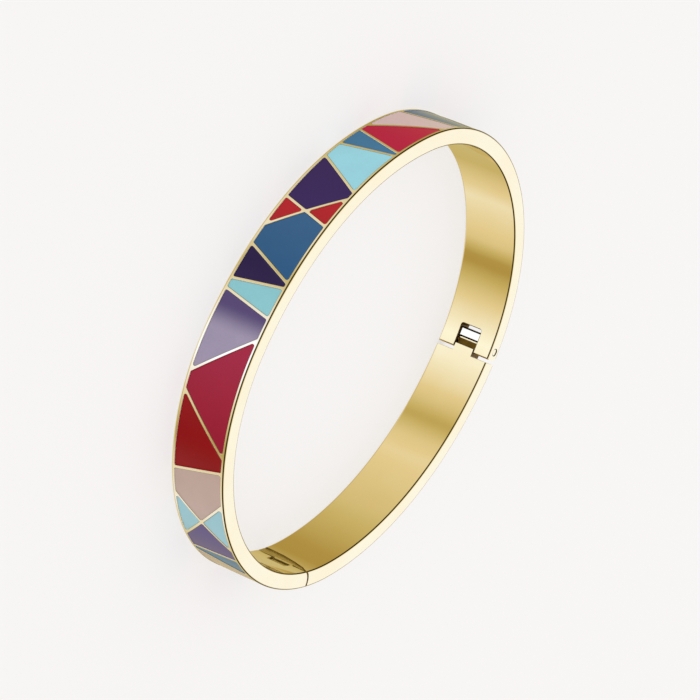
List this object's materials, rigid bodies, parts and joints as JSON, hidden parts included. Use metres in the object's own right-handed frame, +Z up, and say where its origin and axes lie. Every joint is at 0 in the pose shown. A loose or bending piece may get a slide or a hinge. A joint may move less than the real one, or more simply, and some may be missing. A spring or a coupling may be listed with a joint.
{
  "type": "hinged bangle",
  "caption": "Oval gold-plated bangle in two hinged parts, the long one enamelled outside in straight-edged fields between wires.",
  "frame": {"origin": "centre of the oval on the lower edge face, on which the bangle lies on its side", "axes": "+X along the oval's length, +Z up along the ring's axis; the clasp and the hinge are on the -Y side, the hinge at +X"},
  "size_m": [0.065, 0.0554, 0.008],
  "materials": {
    "gold": "mirror polished, gold plated",
    "enamel_aubergine": "gloss enamel",
    "enamel_crimson": "gloss enamel",
    "enamel_rose": "gloss enamel",
    "enamel_steel_blue": "gloss enamel",
    "enamel_muted_purple": "gloss enamel",
    "enamel_light_blue": "gloss enamel",
    "enamel_dark_red": "gloss enamel",
    "enamel_lilac": "gloss enamel",
    "enamel_dark_aubergine": "gloss enamel",
    "enamel_bright_red": "gloss enamel"
  },
  "bodies": {
    "front": {"front_band": "gold", "hinge_pin": "gold", "enamel_01": "enamel_aubergine", "enamel_02": "enamel_crimson", "enamel_03": "enamel_rose", "enamel_04": "enamel_steel_blue", "enamel_05": "enamel_muted_purple", "enamel_06": "enamel_light_blue", "enamel_07": "enamel_light_blue", "enamel_08": "enamel_rose", "enamel_09": "enamel_dark_red", "enamel_10": "enamel_crimson", "enamel_11": "enamel_lilac", "enamel_12": "enamel_light_blue", "enamel_13": "enamel_dark_aubergine", "enamel_14": "enamel_steel_blue", "enamel_15": "enamel_bright_red", "enamel_16": "enamel_bright_red", "enamel_17": "enamel_aubergine", "enamel_18": "enamel_light_blue", "enamel_19": "enamel_steel_blue", "enamel_20": "enamel_crimson", "enamel_21": "enamel_rose", "enamel_22": "enamel_steel_blue", "enamel_23": "enamel_crimson", "enamel_24": "enamel_aubergine", "enamel_25": "enamel_light_blue", "enamel_26": "enamel_light_blue", "enamel_27": "enamel_rose", "enamel_28": "enamel_dark_red", "enamel_29": "enamel_lilac", "enamel_30": "enamel_steel_blue"},
    "back": {"back_band": "gold", "clasp_tongue": "gold"}
  },
  "joints": [
    {"name": "hinge", "type": "hinge", "parent": "front", "child": "back", "pos_m": [0.02023, -0.02079, 0.004], "axis": [0, 0, 1], "range_deg": [0, 70]}
  ]
}
